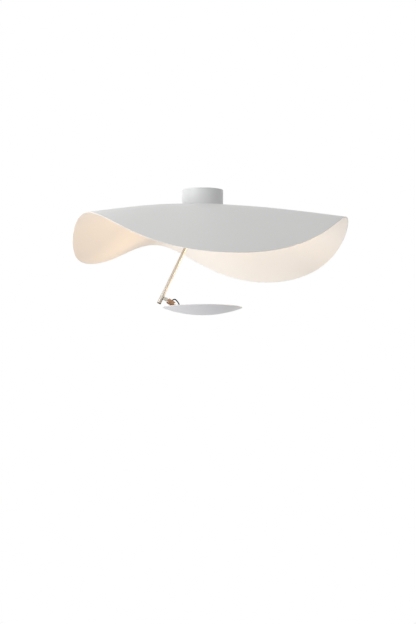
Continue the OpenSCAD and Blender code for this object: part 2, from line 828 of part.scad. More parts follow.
module swivel_fork() {
  plate_bottom_z = swivel_z - swivel_t;
  color("lightgray") difference() {
    union() {
      translate([0, 0, plate_bottom_z]) cylinder(d = swivel_d, h = swivel_t);
      for (side = [-1, 1]) translate([0, side * (cheek_in + cheek_out) / 2, 0]) {
        translate([0, 0, pivot_z]) rod_y(cheek_r, cheek_t);
        translate([-cheek_r, -cheek_t / 2, pivot_z])
          cube([2 * cheek_r, cheek_t, plate_bottom_z + swivel_t / 2 - pivot_z]);
      }
    }
    translate([0, 0, plate_bottom_z - cut]) cylinder(r = tube_r + run_gap, h = swivel_t + 2 * cut);
    translate([0, 0, tube_bottom - flange_gap])
      cylinder(r = flange_d / 2 + flange_gap, h = plate_bottom_z - tube_bottom + flange_gap);
    translate([0, 0, pivot_z]) rod_y(pivot_screw_d / 2 + run_gap, 2 * cheek_out + cut);
    for (side = [-1, 1])
      translate([0, side * (cheek_out - pivot_head_h / 2 + cut / 2), pivot_z])
        rod_y(pivot_head_r + hole_gap, pivot_head_h + cut);
  }
}

module stem_knuckle() {
  neck_step = 0.3;
  bore_l = spigot_l + rod_top + knuckle_d / 2;
  color("lightgray") on_stem() difference() {
    union() {
      rod_y(knuckle_d / 2, knuckle_w);
      translate([0, 0, -rod_top]) cylinder(r = knuckle_w / 2 - neck_step, h = rod_top);
      translate([0, 0, -rod_top - spigot_l])
        cylinder(r = stem_bore / 2 - run_gap, h = spigot_l + rod_top);
    }
    translate([0, 0, -rod_top - spigot_l - cut]) cylinder(d = side_hole_d, h = bore_l + 2 * cut);
    for (side = [-1, 1])
      translate([0, side * (knuckle_w / 2 - pivot_grip / 2 + cut / 2), 0])
        rod_y(pivot_screw_d / 2 + run_gap, pivot_grip + cut);
  }
}

module pivot_screws() {
  head_in = cheek_out - pivot_head_h + face_gap;
  tip = knuckle_w / 2 - pivot_grip + loose_gap;
  socket_af = pivot_screw_d * 0.6;
  socket_depth = 1;
  color("silver") on_stem() for (turn = [0, 180]) rotate([0, 0, turn])
    translate([0, head_in, 0]) rotate([90, 0, 0])
      socket_screw(
        pivot_screw_d / 2, head_in - tip,
        pivot_head_r, pivot_head_h - face_gap, socket_af, socket_depth
      );
}

module stem_rod() {
  color("silver") on_stem() difference() {
    translate([0, 0, -rod_end]) cylinder(r = stem_r, h = rod_end - rod_top);
    translate([0, 0, -rod_end - cut]) cylinder(d = stem_bore, h = rod_end - rod_top + 2 * cut);
    translate([0, 0, -joint_at]) rod_x(side_hole_d / 2, stem_r + cut);
  }
}

module stem_lead() {
  bend = 3;
  points = [
    [0, 0, -1], [0, 0, -rod_top], [0, 0, -joint_at / 3], [0, 0, -2 * joint_at / 3],
    [0, 0, -joint_at + 3 * bend], [0, 0, -joint_at + 1.6 * bend], [0.2, 0, -joint_at + bend],
    [0.5, 0, -joint_at + bend / 2], [1.2, 0, -joint_at + 0.2], [stem_r - 0.3, 0, -joint_at]
  ];
  color("dimgray") on_stem() tube_along(points, stem_lead_d, [1, 0, 0]);
}

module stop_ring() {
  color("silver") on_stem() translate([0, 0, -sleeve_top + face_gap])
    ring(sleeve_d / 2 - sleeve_step, stem_r + run_gap, stop_ring_h);
}

module end_cap() {
  plug_l = 5;
  color("peru") on_stem() union() {
    translate([0, 0, -stem_l]) cylinder(r = sleeve_d / 2 - sleeve_step, h = cap_t);
    translate([0, 0, -rod_end - sink]) cylinder(r = stem_bore / 2 - run_gap, h = plug_l + sink);
  }
}

module swivel_sleeve() {
  stub_h = ear_d - 1;
  stub_x = stem_r + sink;
  lead_hole_r = side_hole_d / 2 - hole_gap;
  color("silver") difference() {
    union() {
      on_stem() translate([0, 0, -sleeve_end]) cylinder(d = sleeve_d, h = sleeve_end - sleeve_top);
      on_joint() {
        rod_y(ear_d / 2, fork_w);
        translate([stub_x - pivot_off, -fork_w / 2, -stub_h / 2])
          cube([pivot_off - stub_x, fork_w, stub_h]);
      }
    }
    on_stem() translate([0, 0, -sleeve_end - cut])
      cylinder(r = stem_r + run_gap, h = sleeve_end - sleeve_top + 2 * cut);
    on_joint() {
      translate([slot_x - pivot_off, -slot_w / 2, -ear_d]) cube([2 * ear_d, slot_w, 2 * ear_d]);
      translate([-pivot_off, 0, 0]) rod_x(lead_hole_r, pivot_off);
      rod_y(tilt_screw_d / 2 + run_gap, fork_w + cut);
      translate([0, -fork_w / 2 + tilt_head_h / 2 - cut / 2, 0])
        rod_y(tilt_head_r + loose_gap, tilt_head_h + cut);
    }
  }
}

module tilt_screw() {
  past_nut = 0.5;
  socket_af = 2.5;
  socket_depth = 1.2;
  color("dimgray") on_joint() translate([0, -fork_w / 2 + tilt_head_h, 0]) rotate([-90, 0, 0])
    socket_screw(
      tilt_screw_d / 2, fork_w - tilt_head_h + tilt_nut_h + past_nut,
      tilt_head_r, tilt_head_h, socket_af, socket_depth
    );
}

module tilt_nut() {
  color("silver") on_joint() translate([0, fork_w / 2, 0]) rotate([-90, 0, 0])
    nut(tilt_nut_af, tilt_nut_h, tilt_screw_d / 2 + run_gap);
}

module barrel_tongue() {
  neck_h = 2 * tongue_r - 1;
  color("silver") on_arm() difference() {
    union() {
      rod_y(tongue_r, tongue_t);
      translate([0, -tongue_t / 2, -neck_h / 2]) cube([barrel_start, tongue_t, neck_h]);
      translate([barrel_start, 0, 0]) rod_x(tongue_shank_r, tongue_shank_l);
    }
    rod_y(tilt_screw_d / 2 + run_gap, tongue_t + cut);
    translate([-tongue_r - cut, 0, wire_groove_z])
      rod_x(wire_groove_r, tongue_r + barrel_start + tongue_shank_l + 2 * cut);
  }
}

module barrel() {
  lead_hole_r = lead_d / 2 + hole_gap;
  color("peru") on_arm() difference() {
    translate([barrel_start, 0, 0]) rotate([0, 90, 0]) rotate_extrude() polygon([
      [0, 0], [barrel_d / 2 - edge_r, 0], [barrel_d / 2, edge_r],
      [barrel_d / 2, barrel_l - edge_r], [barrel_d / 2 - edge_r, barrel_l], [0, barrel_l]
    ]);
    translate([barrel_start - cut, 0, 0])
      rod_x(tongue_shank_r + run_gap, tongue_shank_l + loose_gap + cut);
    translate([barrel_start, 0, 0]) rod_x(wire_bore_d / 2, barrel_l - arm_grip);
    translate([barrel_end - arm_grip, 0, 0]) rod_x(arm_d / 2 + run_gap, arm_grip + cut);
    rod_between(lead_exit_points[0], lead_exit_points[lead_wall_steps], lead_hole_r);
  }
}

module reflector_arm() {
  color("lightgray") on_arm()
    translate([barrel_end - arm_grip + loose_gap, 0, 0])
      rod_x(arm_d / 2, arm_tip - barrel_end + arm_grip - loose_gap);
}

module lead_loop() {
  color("black") translate([joint_x, 0, joint_z])
    tube_along(lead_loop_points, lead_d, [0, 1, 0]);
}

module led_plate() {
  color("silver") difference() {
    union() {
      translate([dish_x, 0, plate_bottom]) cylinder(r = plate_r, h = plate_t);
      translate([dish_x, 0, rib_z]) intersection() {
        cylinder(r = plate_r - rib_edge, h = rib_h + plate_t / 2);
        for (i = [-ribs_beside : ribs_beside])
          translate([-plate_r, i * rib_pitch - rib_t / 2, 0])
            cube([plate_d, rib_t, rib_h + plate_t / 2]);
      }
      for (a = post_angles)
        translate([dish_x + post_r * cos(a), post_r * sin(a), rib_z])
          cylinder(r = plate_boss_r, h = rib_h + plate_t / 2);
      translate([dish_x - plate_r - lug_l, 0, plate_bottom]) {
        cylinder(d = lug_w, h = plate_t);
        translate([0, -lug_w / 2, 0]) cube([lug_l + plate_r / 2, lug_w, plate_t]);
      }
      on_arm() translate([boss_start, 0, 0]) rod_x(boss_d / 2, boss_l);
    }
    for (a = post_angles)
      translate([dish_x + post_r * cos(a), post_r * sin(a), rib_z - cut])
        cylinder(r = post_thread_d / 2 + loose_gap, h = rib_h + plate_t + 2 * cut);
    on_arm() translate([boss_start - cut, 0, 0])
      rod_x(arm_d / 2 + run_gap, arm_tip - boss_start + cut + loose_gap);
    for (side = [-1, 1])
      translate([dish_x, side * holder_screw_r, plate_z - holder_screw_grip])
        cylinder(r = holder_screw_d / 2 + run_gap, h = holder_screw_grip + cut);
  }
}

module dish() {
  color("whitesmoke") difference() {
    intersection() {
      translate([dish_x, 0, ball_z]) sphere(r = ball_r, $fn = 240);
      translate([dish_x, 0, rim_z - dish_depth - cut]) cylinder(r = dish_r + cut, h = dish_depth + cut);
    }
    translate([dish_x, 0, ball_z]) sphere(r = ball_r - dish_t, $fn = 240);
  }
}

module dish_posts() {
  post_low = rim_z - dish_depth;
  thread_top = plate_z + post_nut_h + thread_over_nut;
  color("silver") for (a = post_angles) intersection() {
    translate([dish_x + post_r * cos(a), post_r * sin(a), post_low]) union() {
      cylinder(d = post_d, h = rib_z - post_low);
      cylinder(d = post_thread_d, h = thread_top - post_low);
    }
    translate([dish_x, 0, ball_z]) sphere(r = ball_r - dish_t, $fn = 240);
  }
}

module post_nuts() {
  color("silver") for (a = post_angles)
    translate([dish_x + post_r * cos(a), post_r * sin(a), plate_z])
      nut(post_nut_af, post_nut_h, post_thread_d / 2 + run_gap);
}

module led_board() {
  color("white") translate([dish_x, 0, plate_z]) difference() {
    cylinder(d = board_d, h = led_board_t);
    for (side = [-1, 1])
      translate([0, side * holder_screw_r, -cut])
        cylinder(r = holder_screw_d / 2 + loose_gap, h = led_board_t + 2 * cut);
  }
}

module led_emitter() {
  color("gold") translate([dish_x, 0, plate_z + led_board_t]) cylinder(d = emitter_d, h = emitter_t);
}

module led_holder() {
  color("white") translate([dish_x, 0, plate_z]) difference() {
    cylinder(r = holder_r, h = holder_h);
    translate([0, 0, -cut]) cylinder(r = board_d / 2 + hole_gap, h = led_board_t + cut);
    translate([0, 0, -cut]) cylinder(r = emitter_d / 2 + window_edge, h = holder_h + 2 * cut);
    for (side = [-1, 1]) translate([0, side * holder_screw_r, 0]) {
      cylinder(r = holder_screw_d / 2 + loose_gap, h = holder_h + cut);
      translate([0, 0, holder_h - holder_head_h])
        cylinder(r = holder_head_d / 2 + holder_head_gap, h = holder_head_h + cut);
    }
    lead_notch();
  }
}

module holder_screws() {
  seat = holder_h - holder_head_h;
  socket_af = 2;
  socket_depth = 0.8;
  color("silver") for (side = [-1, 1])
    translate([dish_x, side * holder_screw_r, plate_z + seat]) rotate([180, 0, 0])
      socket_screw(
        holder_screw_d / 2, seat + holder_screw_grip - loose_gap,
        holder_head_d / 2, holder_head_h - holder_head_sink, socket_af, socket_depth
      );
}

module light_cover() {
  color("white") translate([dish_x, 0, plate_z]) difference() {
    cylinder(d = cover_d, h = cover_h);
    translate([0, 0, -cut]) cylinder(r = cover_d / 2 - cover_wall, h = cover_h - cover_wall + cut);
    lead_notch();
  }
}

ceiling_bracket();
canopy();
canopy_screws();
driver_case();
driver_lid();
driver_board();
driver_screws();
terminal_block();
terminal_screws();
mains_leads();
driver_lead();
threaded_tube();
tooth_washer();
tube_nut();
shade();
seat_washer();
clamp_nut();
spring_washer();
swivel_fork();
stem_knuckle();
pivot_screws();
stem_rod();
stem_lead();
stop_ring();
end_cap();
swivel_sleeve();
tilt_screw();
tilt_nut();
barrel_tongue();
barrel();
reflector_arm();
lead_loop();
led_plate();
dish();
dish_posts();
post_nuts();
led_board();
led_emitter();
led_holder();
holder_screws();
light_cover();
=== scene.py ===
import json
import math
import bpy
from mathutils import Matrix, Vector

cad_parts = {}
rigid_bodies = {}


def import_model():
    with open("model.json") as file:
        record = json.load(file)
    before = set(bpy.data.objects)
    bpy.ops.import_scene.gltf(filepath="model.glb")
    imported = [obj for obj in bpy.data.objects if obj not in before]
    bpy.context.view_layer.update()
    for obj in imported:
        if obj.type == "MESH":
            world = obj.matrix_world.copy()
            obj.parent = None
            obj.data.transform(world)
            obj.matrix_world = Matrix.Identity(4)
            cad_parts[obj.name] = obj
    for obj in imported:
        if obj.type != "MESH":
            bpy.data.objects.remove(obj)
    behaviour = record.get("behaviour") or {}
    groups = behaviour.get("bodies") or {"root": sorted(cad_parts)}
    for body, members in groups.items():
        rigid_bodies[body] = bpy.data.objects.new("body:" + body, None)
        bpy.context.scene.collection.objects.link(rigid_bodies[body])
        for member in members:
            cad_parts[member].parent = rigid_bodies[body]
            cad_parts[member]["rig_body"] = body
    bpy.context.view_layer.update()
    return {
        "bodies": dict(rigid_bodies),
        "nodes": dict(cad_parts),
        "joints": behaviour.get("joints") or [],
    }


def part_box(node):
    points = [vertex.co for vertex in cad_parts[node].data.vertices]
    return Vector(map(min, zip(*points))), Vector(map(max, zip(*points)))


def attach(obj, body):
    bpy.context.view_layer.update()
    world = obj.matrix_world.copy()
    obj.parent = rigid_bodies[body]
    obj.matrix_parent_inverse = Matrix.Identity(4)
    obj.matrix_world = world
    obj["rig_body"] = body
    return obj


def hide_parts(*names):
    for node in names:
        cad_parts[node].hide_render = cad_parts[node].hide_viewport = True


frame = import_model()


def feed(tree, socket, value):
    """Links another node's output to the socket, or sets the socket to a plain value."""
    if isinstance(value, bpy.types.NodeSocket):
        tree.links.new(value, socket)
    else:
        socket.default_value = value


def put(tree, kind, inputs=None, **settings):
    """Adds a shader node, with its settings by name and its inputs as numbers, colours or links."""
    made = tree.nodes.new(kind)
    for name, value in settings.items():
        setattr(made, name, value)
    for name, value in (inputs or {}).items():
        feed(tree, made.inputs[name], value)
    return made


def reckon(tree, operation, *values):
    """The outcome of one step of arithmetic on numbers or links."""
    return put(tree, "ShaderNodeMath", dict(enumerate(values)), operation=operation).outputs[0]


def noise(tree, where, scale, detail=2.0):
    """Soft noise from 0 to 1 round 0.5, at so many spots a metre."""
    return put(tree, "ShaderNodeTexNoise", {"Vector": where, "Scale": scale, "Detail": detail}).outputs["Fac"]


def blended(tree, amount, first, second):
    """The first colour where the amount is 0, and the second where it is 1."""
    made = put(tree, "ShaderNodeMix", data_type="RGBA")
    for name, kind, value in (("Factor", "VALUE", amount), ("A", "RGBA", first), ("B", "RGBA", second)):
        feed(tree, next(s for s in made.inputs if s.name == name and s.type == kind), value)
    return next(s for s in made.outputs if s.type == "RGBA")


def sum_of(tree, base, *waves):
    """A number, with each wave round 0.5 added as far as its own swing."""
    total = base
    for wave, swing in waves:
        total = reckon(tree, "MULTIPLY_ADD", reckon(tree, "SUBTRACT", wave, 0.5), swing, total)
    return total


def effect_group(name, numbers, colours):
    """An empty node group and its inputs. A place, some colours and some numbers come in, and a colour, a
    roughness and a height go out."""
    group = bpy.data.node_groups.new(name, "ShaderNodeTree")
    group.interface.new_socket("Place", in_out="INPUT", socket_type="NodeSocketVector")
    for label in colours:
        group.interface.new_socket(label, in_out="INPUT", socket_type="NodeSocketColor")
    for label in numbers:
        group.interface.new_socket(label, in_out="INPUT", socket_type="NodeSocketFloat")
    group.interface.new_socket("Colour", in_out="OUTPUT", socket_type="NodeSocketColor")
    for label in ("Roughness", "Height"):
        group.interface.new_socket(label, in_out="OUTPUT", socket_type="NodeSocketFloat")
    return group, group.nodes.new("NodeGroupInput").outputs


def close_group(group, colour, roughness, height):
    """Sends the finished colour, roughness and height out of the group."""
    put(group, "NodeGroupOutput", {"Colour": colour, "Roughness": roughness, "Height": height})


# Plated and turned metal: fine tool marks across the local Z axis, and cloudy tone.
worked_metal, given = effect_group("worked_metal", ("Marks", "Clouds", "Base Roughness"), ("Metal", "Stain"))
mark_stretch = (1.0, 1.0, 24.0)
stretched = put(
    worked_metal, "ShaderNodeVectorMath", {0: given["Place"], 1: mark_stretch}, operation="MULTIPLY"
).outputs[0]
marks = noise(worked_metal, stretched, given["Marks"])
clouds = noise(worked_metal, given["Place"], given["Clouds"], 4.0)
close_group(
    worked_metal,
    blended(worked_metal, clouds, given["Metal"], given["Stain"]),
    sum_of(worked_metal, given["Base Roughness"], (marks, 0.22), (clouds, 0.2)),
    marks,
)


def finish_from(group, name, values, bump, turn=(0, 0, 0), **shader_values):
    """A material whose colour, roughness and relief come from an effect group. values are the inputs of
    the group, bump is the height of the relief in metres, and turn is the rotation of the pattern."""
    material = bpy.data.materials.new(name)
    material.use_nodes = True
    tree = material.node_tree
    shader = tree.nodes["Principled BSDF"]
    for socket, value in shader_values.items():
        shader.inputs[socket.replace("_", " ")].default_value = value
    where = put(tree, "ShaderNodeTexCoord").outputs["Object"]
    turned_place = put(tree, "ShaderNodeMapping", {"Vector": where, "Rotation": turn}).outputs[0]
    effect = put(tree, "ShaderNodeGroup", node_tree=group)
    tree.links.new(turned_place, effect.inputs["Place"])
    for socket, value in values.items():
        effect.inputs[socket].default_value = value
    tree.links.new(effect.outputs["Colour"], shader.inputs["Base Color"])
    tree.links.new(effect.outputs["Roughness"], shader.inputs["Roughness"])
    relief = put(
        tree, "ShaderNodeBump", {"Height": effect.outputs["Height"], "Strength": 0.6, "Distance": bump}
    )
    tree.links.new(relief.outputs["Normal"], shader.inputs["Normal"])
    return material


def select_only(piece):
    """Makes the piece the only selected one and the active one."""
    bpy.ops.object.select_all(action="DESELECT")
    piece.select_set(True)
    bpy.context.view_layer.objects.active = piece


def open_piece(name, mesh):
    """A new piece with this mesh, selected alone and in edit mode."""
    piece = bpy.data.objects.new(name, mesh)
    bpy.context.scene.collection.objects.link(piece)
    select_only(piece)
    bpy.ops.object.mode_set(mode="EDIT")
    bpy.ops.mesh.select_all(action="SELECT")
    return piece


def ease_edges(piece, width, sharp=35, smooth=40):
    """Rounds every edge sharper than so many degrees, and shades the curves smooth and the flats flat."""
    bevel = piece.modifiers.new("eased edges", "BEVEL")
    bevel.width = width
    bevel.segments = 2
    bevel.limit_method = "ANGLE"
    bevel.angle_limit = math.radians(sharp)
    bpy.ops.object.modifier_apply(modifier=bevel.name)
    bpy.ops.object.shade_smooth_by_angle(angle=math.radians(smooth))
    flats = piece.modifiers.new("flat faces", "WEIGHTED_NORMAL")
    flats.keep_sharp = True
    bpy.ops.object.modifier_apply(modifier=flats.name)


merge_gap = 0.000002


def eased(node, name, width, flat=0.4):
    """A CAD node's shape with soft edges. Its copy is merged, its faces that are flat within so many degrees
    are joined, and its edges are rounded."""
    piece = open_piece(name, frame["nodes"][node].data.copy())
    bpy.ops.mesh.customdata_custom_splitnormals_clear()
    bpy.ops.mesh.remove_doubles(threshold=merge_gap)
    bpy.ops.mesh.dissolve_limited(angle_limit=math.radians(flat))
    bpy.ops.object.mode_set(mode="OBJECT")
    ease_edges(piece, width)
    return piece


def stand_for(piece, node, material):
    """The piece takes a CAD node's place, on the same body and with the given material, and the node is
    hidden.
    """
    piece.data.materials.clear()
    piece.data.materials.append(material)
    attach(piece, frame["nodes"][node]["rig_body"])
    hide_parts(node)


zinc_plate = finish_from(
    worked_metal, "zinc_plate",
    {
        "Metal": (0.66, 0.67, 0.69, 1), "Stain": (0.5, 0.52, 0.55, 1),
        "Marks": 60, "Clouds": 260, "Base Roughness": 0.38,
    },
    bump=0.00001, Metallic=1.0,
)
stand_for(eased("ceiling_bracket", "bracket_pressing", width=0.0003), "ceiling_bracket", zinc_plate)


# Terminal block: a moulded block with two through bores for the wires, and a clamping screw at each of
# their ends. Natural nylon, screwed to the bracket. Its clamping screws are brass.
moulded, given = effect_group("moulded_plastic", ("Grain", "Base Roughness"), ("Plastic", "Shade"))
grain = noise(moulded, given["Place"], given["Grain"], 3.0)
drift = noise(moulded, given["Place"], 90.0)
close_group(
    moulded,
    blended(moulded, drift, given["Plastic"], given["Shade"]),
    sum_of(moulded, given["Base Roughness"], (grain, 0.12), (drift, 0.1)),
    grain,
)
nylon = finish_from(
    moulded, "natural_nylon_moulding",
    {"Plastic": (0.82, 0.78, 0.66, 1), "Shade": (0.76, 0.71, 0.58, 1), "Grain": 1400, "Base Roughness": 0.42},
    bump=0.00002, Subsurface_Weight=0.1, Subsurface_Scale=0.002,
)
brass = finish_from(
    worked_metal, "turned_brass",
    {
        "Metal": (0.80, 0.60, 0.28, 1), "Stain": (0.62, 0.43, 0.18, 1),
        "Marks": 120, "Clouds": 300, "Base Roughness": 0.3,
    },
    bump=0.00001, Metallic=1.0,
)
stand_for(eased("terminal_block", "terminal_moulding", width=0.0003), "terminal_block", nylon)
stand_for(eased("terminal_screws", "clamping_screws", width=0.00012), "terminal_screws", brass)


# LED driver: a case and a lid screwed to the bracket through its posts, with the circuit board on ledges
# inside. White polycarbonate with a fine moulded grain. The board has a coil and a capacitor over a green
# solder mask.
white_plastic = finish_from(
    moulded, "white_polycarbonate",
    {"Plastic": (0.82, 0.82, 0.80, 1), "Shade": (0.78, 0.78, 0.76, 1), "Grain": 1800, "Base Roughness": 0.45},
    bump=0.00002,
)
stand_for(eased("driver_case", "driver_shell", width=0.0005), "driver_case", white_plastic)
stand_for(eased("driver_lid", "driver_cover", width=0.0004), "driver_lid", white_plastic)
stand_for(eased("driver_screws", "driver_fixings", width=0.00015), "driver_screws", zinc_plate)


def circuit_board_finish(name, mask, copper, tall, top):
    """Solder mask with paler tracks under it, and a darker finish on what stands above the board's top."""
    material = bpy.data.materials.new(name)
    material.use_nodes = True
    tree = material.node_tree
    shader = tree.nodes["Principled BSDF"]
    where = put(tree, "ShaderNodeTexCoord").outputs["Object"]
    tracks = put(
        tree, "ShaderNodeTexBrick", {"Vector": where, "Scale": 150.0, "Mortar Size": 0.1}, offset=0.3
    )
    tracks.inputs["Color1"].default_value = mask
    tracks.inputs["Color2"].default_value = [0.8 * c for c in mask[:3]] + [1]
    tracks.inputs["Mortar"].default_value = copper
    height = put(tree, "ShaderNodeSeparateXYZ", {"Vector": where}).outputs["Z"]
    stands = reckon(tree, "GREATER_THAN", height, top)
    windings = noise(tree, where, 700.0)
    darker = blended(tree, windings, tall, [0.5 * c for c in tall[:3]] + [1])
    tree.links.new(blended(tree, stands, tracks.outputs["Color"], darker), shader.inputs["Base Color"])
    tree.links.new(sum_of(tree, 0.35, (windings, 0.2)), shader.inputs["Roughness"])
    relief = put(
        tree, "ShaderNodeBump", {"Height": tracks.outputs["Fac"], "Strength": 0.4, "Distance": 0.00004}
    )
    tree.links.new(relief.outputs["Normal"], shader.inputs["Normal"])
    return material


board_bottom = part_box("driver_board")[0].z
board_sheet = 0.0016
green_board = circuit_board_finish(
    "driver_board_mask", mask=(0.03, 0.2, 0.08, 1), copper=(0.08, 0.36, 0.16, 1), tall=(0.3, 0.22, 0.05, 1),
    top=board_bottom + board_sheet,
)
stand_for(eased("driver_board", "driver_circuit", width=0.00015), "driver_board", green_board)


# Leads in the canopy: two single mains leads from the block to the driver, and a sheathed lead on to the
# stem. PVC sleeves, brown and blue on the mains side and black after the driver. Each lies in one easy curve.
def sleeved_lead(name, points, diameter, material):
    """A lead along a smooth curve through its points."""
    line = bpy.data.curves.new(name, "CURVE")
    line.dimensions = "3D"
    line.bevel_depth = diameter / 2
    line.bevel_resolution = 5
    line.resolution_u = 10
    line.use_fill_caps = True
    spline = line.splines.new("BEZIER")
    spline.bezier_points.add(len(points) - 1)
    for knot, point in zip(spline.bezier_points, points):
        knot.co = point
        knot.handle_left_type = knot.handle_right_type = "AUTO"
    lead = bpy.data.objects.new(name, line)
    bpy.context.scene.collection.objects.link(lead)
    select_only(lead)
    bpy.ops.object.convert(target="MESH")
    bpy.ops.object.shade_smooth_by_angle(angle=math.radians(50))
    lead.data.materials.clear()
    lead.data.materials.append(material)
    return lead


def sleeve_finish(name, colour, dusty):
    """The dull finish of a lead's sleeve, a little paler where dust lies on it."""
    return finish_from(
        moulded, name,
        {"Plastic": colour, "Shade": dusty, "Grain": 900, "Base Roughness": 0.65},
        bump=0.00003, Specular_IOR_Level=0.12,
    )


brown_sleeve = sleeve_finish("brown_sleeve_pvc", (0.12, 0.04, 0.015, 1), (0.16, 0.06, 0.025, 1))
blue_sleeve = sleeve_finish("blue_sleeve_pvc", (0.02, 0.08, 0.3, 1), (0.03, 0.1, 0.34, 1))
black_sleeve = sleeve_finish("black_sleeve_rubber", (0.012, 0.012, 0.013, 1), (0.022, 0.022, 0.024, 1))
single_lead_d = 0.002
live_points = [
    (-0.009, -0.015, -0.0069), (-0.009, -0.009, -0.0079), (-0.014, -0.003, -0.0109), (-0.023, 0.002, -0.0127),
    (-0.030, 0.008, -0.0134), (-0.0305, 0.014, -0.0134), (-0.028, 0.018, -0.0131), (-0.0245, 0.0185, -0.0131),
]
neutral_points = [
    (0.009, -0.015, -0.0069), (0.009, -0.009, -0.0084), (0.002, -0.005, -0.0124), (-0.012, -0.001, -0.0157),
    (-0.025, 0.003, -0.0165), (-0.033, 0.009, -0.0159), (-0.035, 0.016, -0.0144), (-0.032, 0.022, -0.0133),
    (-0.028, 0.0235, -0.0131), (-0.0245, 0.0235, -0.0131),
]
live_lead = sleeved_lead("live_lead", live_points, single_lead_d, brown_sleeve)
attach(live_lead, "ceiling_mount")
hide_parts("mains_leads")
neutral_lead = sleeved_lead("neutral_lead", neutral_points, single_lead_d, blue_sleeve)
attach(neutral_lead, "ceiling_mount")
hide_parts("mains_leads")

stem_feed_points = [
    (0.0245, 0.021, -0.0131), (0.028, 0.0205, -0.0131), (0.031, 0.016, -0.0133), (0.030, 0.009, -0.0138),
    (0.022, 0.003, -0.0135), (0.012, 0.0005, -0.0128), (0.004, 0, -0.014), (0.0006, 0, -0.019),
    (0, 0, -0.025), (0, 0, -0.0424),
]
stem_feed = sleeved_lead("driver_to_stem_lead", stem_feed_points, single_lead_d, black_sleeve)
stand_for(stem_feed, "driver_lead", black_sleeve)


# Threaded tube with its toothed washer and nut: it hangs the shade and the swivel from the canopy's floor.
# Zinc plated steel. The thread shows as fine rings on the tube.
threaded_steel = finish_from(
    worked_metal, "threaded_zinc",
    {
        "Metal": (0.62, 0.62, 0.6, 1), "Stain": (0.42, 0.42, 0.4, 1),
        "Marks": 50, "Clouds": 200, "Base Roughness": 0.4,
    },
    bump=0.0002, Metallic=1.0,
)
stand_for(eased("threaded_tube", "threaded_stud", width=0.0002), "threaded_tube", threaded_steel)
stand_for(eased("tooth_washer", "shakeproof_washer", width=0.00015), "tooth_washer", zinc_plate)
stand_for(eased("tube_nut", "upper_nut", width=0.0004), "tube_nut", zinc_plate)


# Canopy: a spun steel cup over the bracket and the driver, closed below and open to the ceiling.
# White powder coat over 1.2 mm sheet. Two screws through its side hold it to the bracket's ears.
def arc(centre, radius, start, end, steps):
    """Points of a round corner, as (radius, height) pairs, between two angles in degrees."""
    angles = [math.radians(start + (end - start) * k / steps) for k in range(steps + 1)]
    return [(centre[0] + radius * math.cos(a), centre[1] + radius * math.sin(a)) for a in angles]


def turned(name, outline, place, steps):
    """A piece off the lathe: its outline of (radius, height) points is spun round the Z axis of place."""
    bpy.ops.object.select_all(action="DESELECT")
    bpy.ops.mesh.primitive_plane_add(size=0.001, location=(0, 0, 0))
    piece = bpy.context.object
    piece.name = piece.data.name = name
    bpy.ops.object.mode_set(mode="EDIT")
    bpy.ops.mesh.select_all(action="SELECT")
    bpy.ops.mesh.merge(type="CENTER")
    bpy.ops.transform.translate(value=(outline[0][0], 0, outline[0][1]))
    for here, there in zip(outline, outline[1:] + outline[:1]):
        step = (there[0] - here[0], 0, there[1] - here[1])
        bpy.ops.mesh.extrude_region_move(TRANSFORM_OT_translate={"value": step})
    bpy.ops.mesh.select_all(action="SELECT")
    bpy.ops.mesh.remove_doubles(threshold=merge_gap)
    bpy.ops.mesh.spin(steps=steps, angle=2 * math.pi, center=(0, 0, 0), axis=(0, 0, 1))
    bpy.ops.mesh.select_all(action="SELECT")
    bpy.ops.mesh.remove_doubles(threshold=merge_gap)
    bpy.ops.mesh.normals_make_consistent(inside=False)
    bpy.ops.object.mode_set(mode="OBJECT")
    piece.matrix_world = place
    bpy.ops.object.transform_apply(location=True, rotation=True, scale=True)
    return piece


lacquer_coat, given = effect_group("lacquer_coat", ("Peel", "Base Roughness"), ("Lacquer", "Tone"))
peel = noise(lacquer_coat, given["Place"], given["Peel"], 1.5)
drift = noise(lacquer_coat, given["Place"], 7.0, 3.0)
close_group(
    lacquer_coat,
    blended(lacquer_coat, drift, given["Lacquer"], given["Tone"]),
    sum_of(lacquer_coat, given["Base Roughness"], (peel, 0.1), (drift, 0.08)),
    peel,
)
white_powder = finish_from(
    lacquer_coat, "white_powder_coat",
    {"Lacquer": (0.77, 0.775, 0.77, 1), "Tone": (0.74, 0.745, 0.745, 1), "Peel": 700, "Base Roughness": 0.42},
    bump=0.00003,
)
canopy_low, canopy_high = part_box("canopy")
canopy_r = canopy_high.x
canopy_wall = 0.0012
canopy_corner = 0.0016
lip_corner = 0.0004
tube_hole_r = 0.0052
floor_top = canopy_low.z + canopy_wall
canopy_outline = (
    [(tube_hole_r, canopy_low.z)]
    + arc((canopy_r - canopy_corner, canopy_low.z + canopy_corner), canopy_corner, -90, 0, steps=6)
    + arc((canopy_r - lip_corner, canopy_high.z - lip_corner), lip_corner, 0, 90, steps=3)
    + arc((canopy_r - canopy_wall + lip_corner, canopy_high.z - lip_corner), lip_corner, 90, 180, steps=3)
    + [(canopy_r - canopy_wall, floor_top), (tube_hole_r, floor_top)]
)
canopy_cup = turned("canopy_cup", canopy_outline, Matrix(), steps=192)
screw_low, screw_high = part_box("canopy_screws")
screw_gap = 0.00015
screw_hole_r = (screw_high.z - screw_low.z) / 2 + screw_gap
bpy.ops.mesh.primitive_cylinder_add(
    vertices=48, radius=screw_hole_r, depth=3 * canopy_r,
    location=(0, 0, (screw_low.z + screw_high.z) / 2), rotation=(0, math.pi / 2, 0),
)
drill = bpy.context.object
select_only(canopy_cup)
drilled = canopy_cup.modifiers.new("screw holes", "BOOLEAN")
drilled.object = drill
drilled.solver = "EXACT"
bpy.ops.object.modifier_apply(modifier=drilled.name)
bpy.data.objects.remove(drill)
bpy.ops.object.shade_smooth_by_angle(angle=math.radians(40))
stand_for(canopy_cup, "canopy", white_powder)


